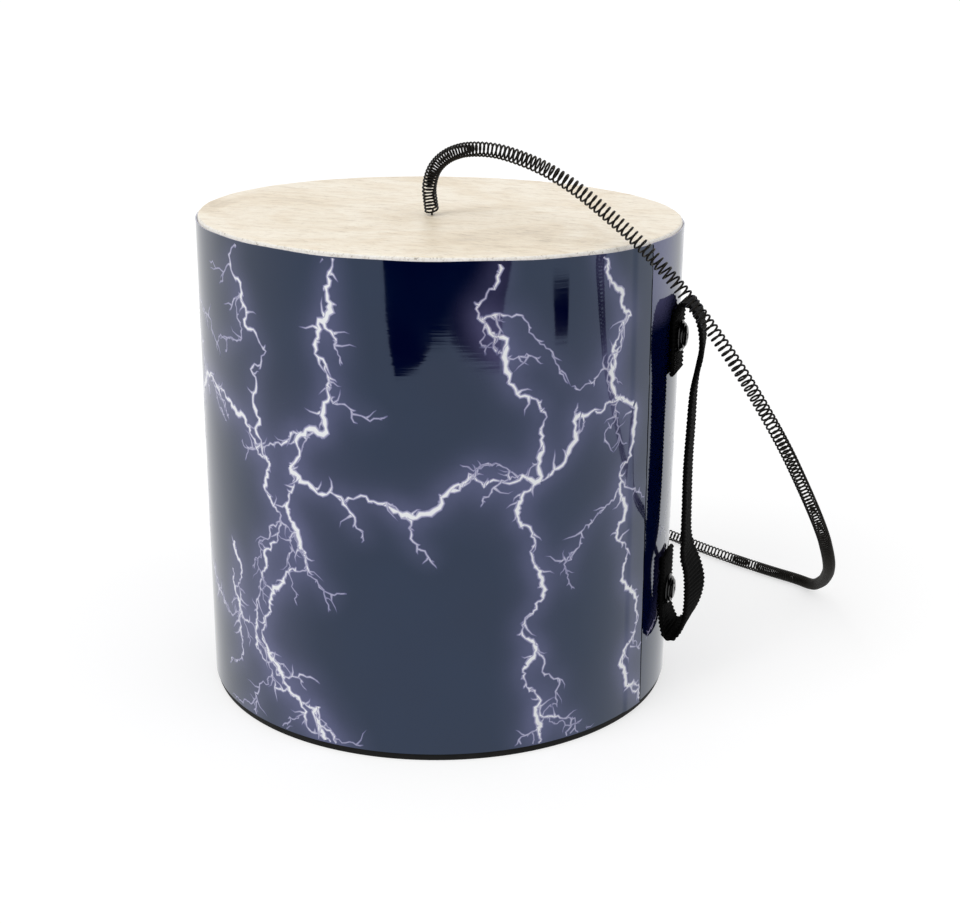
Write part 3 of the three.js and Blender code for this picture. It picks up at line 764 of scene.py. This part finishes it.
def printed_wrap():
    film_points, film_sheet, film_faces, ring = wrap_sheet()
    plain = len(film_points)
    band_points, band_sheet, band_faces = bolt_ribbons(plain)
    points = np.concatenate([film_points, band_points])
    made = mesh_object("printed_wrap_film", points, film_faces + band_faces)
    bolt = np.concatenate([np.zeros(plain), bolt_at(band_sheet)])
    # The cut top edge shows the white film, at the first of a ring's two inner points
    bolt[ring - 2:plain:ring] = 0.6
    point_values(made, "haze", haze_at(np.concatenate([film_sheet, band_sheet])))
    point_values(made, "bolt", bolt)
    smooth_under(made, 40)
    return made


settle(printed_wrap(), printed_film(), "tube", "printed_film", "printed_wrap")


def lap_edge_shadow_strip():
    """A strip on the film's cut edge at the lap, painted black as the shadow of the gap there."""
    heights = np.linspace(WRAP_LOW + 0.2, WRAP_HIGH - 0.3, 90)
    # The strip's own section: how far back from the edge, and how high over the film
    section = ((0.65, 0.03), (0.3, 0.04), (0, 0.2), (0, -0.4), (0.65, -0.4))
    points = []
    for height in heights:
        # The knife's line wanders a little
        shift = 0.04 + 0.05 * math.sin(height / 7.0) + 0.04 * math.sin(height / 2.3)
        for back, lift in section:
            points.append(on_tube(SHEET_LENGTH - back, height, lift) + [0.0, shift, 0.0])
    faces = closed_faces(len(heights), len(section), turned=True)
    return mesh_object("wrap_lap_edge_painted_shadow", points, faces, smooth=False)


settle(lap_edge_shadow_strip(), seam_shadow_finish(), "tube", "printed_film", "printed_wrap")


# Turned pieces: a round primitive is drawn up ring by ring, as on a lathe
def drawn_up(name, profile, sides, centre=(0.0, 0.0)):
    profile = [(max(radius, 0.001), height) for radius, height in profile]
    radius, height = profile[0]
    bpy.ops.mesh.primitive_circle_add(
        vertices=sides, radius=radius * MM, fill_type="NOTHING",
        location=[c * MM for c in (*centre, height)], enter_editmode=True,
    )
    made = bpy.context.active_object
    for next_radius, next_height in profile[1:]:
        bpy.ops.mesh.extrude_region_move(
            TRANSFORM_OT_translate={"value": (0, 0, (next_height - height) * MM)}
        )
        grow = next_radius / radius
        bpy.ops.transform.resize(
            value=(grow, grow, 1), center_override=[c * MM for c in (*centre, next_height)]
        )
        radius, height = next_radius, next_height
    bpy.ops.mesh.select_all(action="SELECT")
    bpy.ops.mesh.remove_doubles(threshold=0.000004)
    bpy.ops.mesh.normals_make_consistent(inside=False)
    bpy.ops.object.mode_set(mode="OBJECT")
    made.name = name
    made.data.name = name
    bpy.ops.object.transform_apply(location=True, rotation=True, scale=True)
    return made


def rounded(middle_radius, middle_height, radius, start, stop, steps):
    """A round in a profile, from one angle to another."""
    turns = [start + (stop - start) * i / steps for i in range(steps + 1)]
    return [
        (middle_radius + radius * math.cos(turn), middle_height + radius * math.sin(turn))
        for turn in turns
    ]


# Shell, stepped in at its top for the head's collar
shell_piece = drawn_up("fibre_shell", [
    (SHELL_INSIDE + 0.8, 0), (SHELL_RADIUS - 0.5, 0), (SHELL_RADIUS - 0.15, 0.15),
    (SHELL_RADIUS, 0.5), (SHELL_RADIUS, 3.0), (SHELL_RADIUS, 197.7), (100.1, 197.7), (100.1, 202.4),
    (98.9, 203.6), (SHELL_INSIDE + 0.8, 203.6), (SHELL_INSIDE, 202.8), (SHELL_INSIDE, 0.8),
    (SHELL_INSIDE + 0.24, 0.24), (SHELL_INSIDE + 0.8, 0),
], 192, TUBE_AXIS)
smooth_under(shell_piece, 35)
settle(shell_piece, black_fibre(), "tube", "black_fibre", "shell")

# Head: film with its edge turned down, a little uneven where it was heat-set round the shell
HOLE_RADIUS = 0.9
corner = (SHELL_RADIUS - HEAD_CORNER, TUBE_HEIGHT - HEAD_CORNER)
film_under = TUBE_HEIGHT - HEAD_FILM
collar_end = TUBE_HEIGHT - HEAD_COLLAR
head_piece = drawn_up("hide_head", [
    *[(radius, TUBE_HEIGHT) for radius in (HOLE_RADIUS, 3, 12, 40, 80)],
    *rounded(*corner, HEAD_CORNER, quarter, 0, 6),
    (SHELL_RADIUS, collar_end), (SHELL_RADIUS - HEAD_FILM, collar_end),
    *rounded(*corner, HEAD_CORNER - HEAD_FILM, 0, quarter, 6),
    (80, film_under), (40, film_under), (HOLE_RADIUS, film_under), (HOLE_RADIUS, TUBE_HEIGHT),
], 192, TUBE_AXIS)
for vertex in head_piece.data.vertices:
    x, y = vertex.co.x / MM - AXIS_X, vertex.co.y / MM - AXIS_Y
    out = math.hypot(x, y)
    # The rings round the hole are drawn over to it
    share = max(0.0, 1 - out / 40)
    vertex.co.x += (HOLE_X - AXIS_X) * share * MM
    vertex.co.y += (HOLE_Y - AXIS_Y) * share * MM
    # The collar's waves grow towards its outside
    if out > 99 and vertex.co.z > 0.2:
        turn = math.atan2(y, x)
        rise = 0.10 * math.sin(23 * turn) + 0.06 * math.sin(57 * turn + 1)
        vertex.co.z += rise * MM * (out - 99) / 1.8
smooth_under(head_piece, 50)
settle(head_piece, hide_finish, "tube", "hide_film", "head")

# Keeper bead on the spring's leg, bored for the wire
BEAD_RADIUS, BEAD_HEIGHT, BEAD_BORE = 2.2, 199.6, 0.64
keeper = drawn_up("keeper_ball", [
    *rounded(0, BEAD_HEIGHT, BEAD_RADIUS, math.radians(-73), math.radians(73), 12),
    (BEAD_BORE, BEAD_HEIGHT - 2.1),
], 28, (HOLE_X, HOLE_Y))
smooth_under(keeper, 50)
settle(keeper, zinc_finish, "hanging_spring", "zinc_steel", "keeper_bead")

# Strap: how far out from the wall it stands, how high over its fixing, and how it is turned,
# in degrees, from the end over the upper fixing to the end under the lower one
STRAP_UPPER = [
    (STRAP_SEAT, -15.5, 0), (STRAP_SEAT, -8, 0), (STRAP_SEAT, 0, 0), (STRAP_SEAT, 8, 0), (2, 11.7, 0),
    (3.6, 14.1, -1), (6, 14.4, -3), (8.6, 11.8, -5), (10.8, 6.7, -6), (11.9, 0.2, -7),
    (11.6, -6.8, -9), (10.5, -13, -8), (9.3, -21.5, -6),
]
STRAP_MIDDLE = [(8.8, 17, -4.5), (8.5, 1, -4), (8.8, -15, -4)]
STRAP_LOWER = [
    (9.3, 25, -3), (10.2, 18, 3), (12.4, 12, 7), (13.8, 5, 12), (14, 0.5, 12), (13.5, -5, 9),
    (12.4, -10, 4), (10.7, -14, 0), (8.7, -16.8, -5), (6.6, -18.7, -8), (4.7, -18.5, -8),
    (3.2, -15.5, -5), (2, -11.5, -2), (STRAP_SEAT, -7.5, 0), (STRAP_SEAT, 0, 0),
    (STRAP_SEAT, 8, 0), (STRAP_SEAT, 17, 0),
]
# One warp yarn's width, and one pick of the weft
YARN_WIDE, PICK = 1.36, 1.8
YARN_RELIEF = 0.3


def wave(turns):
    """From 0 to 1 and back, once a turn."""
    return 0.5 - 0.5 * math.cos(2 * math.pi * turns)


def strap_section():
    """Round the band: over one face, round the selvedge, back over the other face, round again.
    Each entry is a place across, a height, the outward way and, on a face, the place of its yarn."""
    thin = STRAP_THICK / 2 - YARN_RELIEF
    reach = STRAP_WIDTH / 2 - YARN_RELIEF - thin
    across = np.linspace(-reach, reach, 29)
    edge = [(math.cos(a), math.sin(a)) for a in np.radians((54, 18, -18, -54))]
    section = []
    for k in (1, -1):
        section += [(k * w, k * thin, 0.0, k, k * w) for w in across]
        section += [(k * (reach + thin * c), k * thin * s, k * c, k * s, None) for c, s in edge]
    return section


def woven(along, place):
    """Height of the yarns, from 0 to 1, and how far they stand out, in mm."""
    if place is None:
        # Selvedge loops, one to a pick, pulled tighter and looser along the strap
        high = wave(along / PICK)
        uneven = 0.75 + 0.25 * math.sin(along * 0.83) + 0.3 * math.sin(along * 2.17 + 1.3)
        return high, 0.5 * high * uneven - 0.2
    # Ribs straight across, one to a pick, over warp yarns that float two picks
    column, over = divmod((place + 50) / YARN_WIDE, 1.0)
    odd = 0.5 * (column % 2)
    rib = wave(along / PICK + odd / (2 * math.pi))
    beat = (along / (2 * PICK) + odd) % 1.0
    float_over = (math.sin(math.pi * over) * math.sin(math.pi * beat)) ** 0.5
    high = rib * (0.55 + 0.45 * float_over)
    return high, 0.66 * high - 0.14


def strap_band():
    runs = ((STRAP_UPPER, UPPER_FIXING), (STRAP_MIDDLE, FIXING_MIDDLE), (STRAP_LOWER, LOWER_FIXING))
    places = [(out, rise + middle, turn) for run, middle in runs for out, rise, turn in run]
    line, place = smooth_line(
        [(AXIS_X + WRAP_RADIUS + out, 0.0, height) for out, height, _ in places], 40
    )
    turns = np.interp(place, range(len(places)), [turn for _, _, turn in places])
    lengths = run_lengths(line)
    at = np.linspace(0, lengths[-1], int(lengths[-1] / 0.31) + 1)
    middles = at_lengths(line, lengths, at)
    tangents = ways_at(line, lengths, at, 0.3)
    section = strap_section()
    points, yarns = [], []
    for along, middle, tangent, turn in zip(at, middles, tangents, np.interp(at, lengths, turns)):
        wide = np.array(Matrix.Rotation(math.radians(turn), 3, Vector(tangent)) @ Vector((0, 1, 0)))
        face = np.cross(wide, tangent)
        for w, up, nw, nt, yarn_place in section:
            high, relief = woven(along, yarn_place)
            points.append(middle + wide * (w + nw * relief) + face * (up + nt * relief))
            yarns.append(high)
    made = mesh_object("webbing_handle", points, closed_faces(len(at), len(section)))
    point_values(made, "yarn", yarns)
    return made


settle(strap_band(), webbing(), "tube", "black_webbing", "handle_strap")

# Fixings, drawn upright with the strap's outer face at zero and then laid along X
FACE_X = AXIS_X + WRAP_RADIUS + STRAP_SEAT + STRAP_THICK / 2
HEAD_RIM = 1.7 + 0.6


def lay_on_wall(piece, height):
    piece.data.transform(Matrix.Rotation(quarter, 4, "Y"))
    piece.data.transform(Matrix.Translation(Vector((FACE_X, 0, height)) * MM))
    return piece


def cup(name, height):
    made = drawn_up(name, [
        (3.1, 0.3), (6.3, 0.3), (6.5, 0.4), (6.5, 0.62), (6.38, 0.85), (6.1, 1.05), (5.75, 1.12),
        (5.6, 1.2), (5.42, 1.7), (5.3, 1.92), (5.1, 2.0), (4.9, 1.95), (4.8, 1.85), (3.1, 0.3),
    ], 48)
    smooth_under(made, 60)
    return lay_on_wall(made, height)


def press_cross(made):
    """The driver's cross: two tapered blades pressed in."""
    for turn in (45, 135):
        bpy.ops.mesh.primitive_cube_add(size=1, enter_editmode=True)
        bpy.ops.transform.resize(value=(4.9 * MM, 1.05 * MM, 2.6 * MM))
        bpy.ops.transform.translate(value=(0, 0, (HEAD_RIM + 0.8) * MM))
        bpy.ops.object.mode_set(mode="OBJECT")
        blade = bpy.context.active_object
        blade.data.transform(Matrix.Rotation(math.radians(turn), 4, "Z"))
        for vertex in blade.data.vertices:
            if vertex.co.z < HEAD_RIM * MM:
                vertex.co.x *= 0.55
                vertex.co.y *= 0.55
        sink = made.modifiers.new("cross", "BOOLEAN")
        sink.object = blade
        sink.operation = "DIFFERENCE"
        sink.solver = "EXACT"
        blade.select_set(False)
        made.select_set(True)
        bpy.context.view_layer.objects.active = made
        bpy.ops.object.modifier_apply(modifier=sink.name)
        made.select_set(False)
        bpy.data.objects.remove(blade)


def screw(name, height):
    shank_low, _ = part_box("upper_screw")
    length = FACE_X - shank_low.x / MM
    dome = [math.radians(degrees) for degrees in (14, 26, 38, 50, 62, 74, 84)]
    made = drawn_up(name, [
        (0, -length), (1.9, -length), (2.4, -length + 0.5), (2.4, HEAD_RIM - 2.1),
        (4.42, HEAD_RIM - 0.08), (4.5, HEAD_RIM), (4.46, HEAD_RIM + 0.12),
        *[(4.4 * math.cos(a), HEAD_RIM + 0.16 + 0.74 * math.sin(a)) for a in dome],
        (0, HEAD_RIM + 0.9),
    ], 48)
    press_cross(made)
    smooth_under(made, 32)
    return lay_on_wall(made, height)


for side, height in (("upper", UPPER_FIXING), ("lower", LOWER_FIXING)):
    settle(cup(f"{side}_cup", height), enamel_finish, "tube", "black_steel", f"{side}_cup_washer")
    settle(screw(f"{side}_domed_screw", height), enamel_finish, "tube", "black_steel", f"{side}_screw")
    for node in (f"{side}_back_washer", f"{side}_lock_washer", f"{side}_nut"):
        coat(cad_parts[node], zinc_finish)
coat(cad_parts["head_patch"], hide_finish)
coat(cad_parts["swivel_washer"], white_nylon())


# Stage: pale floor, white surroundings for the eye and for gloss, plain soft light
def floor_finish():
    material = bpy.data.materials.new("matt_white_studio_sheet")
    material.use_nodes = True
    tree = material.node_tree
    tree.nodes.clear()
    path = add(tree, "LightPath")
    matt = add(tree, "BsdfDiffuse", {"Color": (0.5, 0.5, 0.5, 1)})
    lift = add(tree, "Emission", {"Strength": 0.6})
    white = add(tree, "Emission", {"Strength": 1.0})
    seen = add(tree, "AddShader", links={0: matt, 1: lift})
    by_camera = add(tree, "MixShader", links={0: path.outputs["Is Camera Ray"], 1: matt, 2: seen})
    mirror = add(tree, "Math", {"operation": "MAXIMUM"},
                 {0: path.outputs["Is Glossy Ray"], 1: path.outputs["Is Transmission Ray"]})
    full = add(tree, "MixShader", links={0: mirror, 1: by_camera, 2: white})
    behind = add(tree, "NewGeometry")
    clear = add(tree, "BsdfTransparent")
    last = add(tree, "MixShader", links={0: behind.outputs["Backfacing"], 1: full, 2: clear})
    add(tree, "OutputMaterial", links={"Surface": last})
    return material


bpy.ops.mesh.primitive_circle_add(vertices=64, radius=14, fill_type="NGON", location=(0, 0, 0))
floor = bpy.context.active_object
floor.name = "studio_floor"
floor.data.materials.append(floor_finish())
floor.select_set(False)


# The white sheet ends in front of the camera: the wrap's gloss sees a dark floor there
def dark_floor():
    patches = [
        [(-4, -679), (110, -700), (200, -760), (300, -745), (345, -665), (400, -600), (472, -505),
         (610, -609), (844, -730), (1150, -960), (900, -1400), (400, -1650), (-200, -1600),
         (-115, -1111), (-70, -862)],
        [(732, -282), (754, -197), (964, -240), (927, -373)],
    ]
    points, faces = [], []
    for patch in patches:
        faces.append(tuple(range(len(points), len(points) + len(patch))))
        points += [(x, y, 1.0) for x, y in patch]
    made = mesh_object("dark_floor", points, faces, smooth=False)
    made.data.materials.append(finish_named("dark_carpet", "#050506", 0.5, specular=0.0)[0])
    made.visible_camera = False
    made.visible_diffuse = False
    made.visible_shadow = False
    made.visible_transmission = False


dark_floor()

world = bpy.data.worlds.new("studio")
bpy.context.scene.world = world
world.use_nodes = True
tree = world.node_tree
tree.nodes.clear()
path = add(tree, "LightPath")
shown = add(tree, "Math", {"operation": "MAXIMUM"},
            {0: path.outputs["Is Camera Ray"], 1: path.outputs["Is Glossy Ray"]})
shown = add(tree, "Math", {"operation": "MAXIMUM"}, {0: shown, 1: path.outputs["Is Transmission Ray"]})
# White to the eye and to gloss, dimmer as light on the instrument
level = add(tree, "MapRange", {"To Min": 0.66, "To Max": 1.0}, {"Value": shown})
sky = add(tree, "Background", {"Color": (1, 1, 1, 1)}, {"Strength": level})
add(tree, "OutputWorld", links={"Surface": sky})


def soft_sun(name, strength, spread, towards):
    data = bpy.data.lights.new(name, "SUN")
    data.energy = strength
    data.angle = math.radians(spread)
    lamp = bpy.data.objects.new(name, data)
    bpy.context.scene.collection.objects.link(lamp)
    lamp.rotation_mode = "QUATERNION"
    lamp.rotation_quaternion = Vector(towards).to_track_quat("-Z", "Y")


soft_sun("key_light", 1.0, 40, (0.5, 0.8, -0.8))
soft_sun("side_light", 0.35, 60, (-0.9, 0.25, -0.7))

bpy.context.scene.view_settings.view_transform = "Standard"
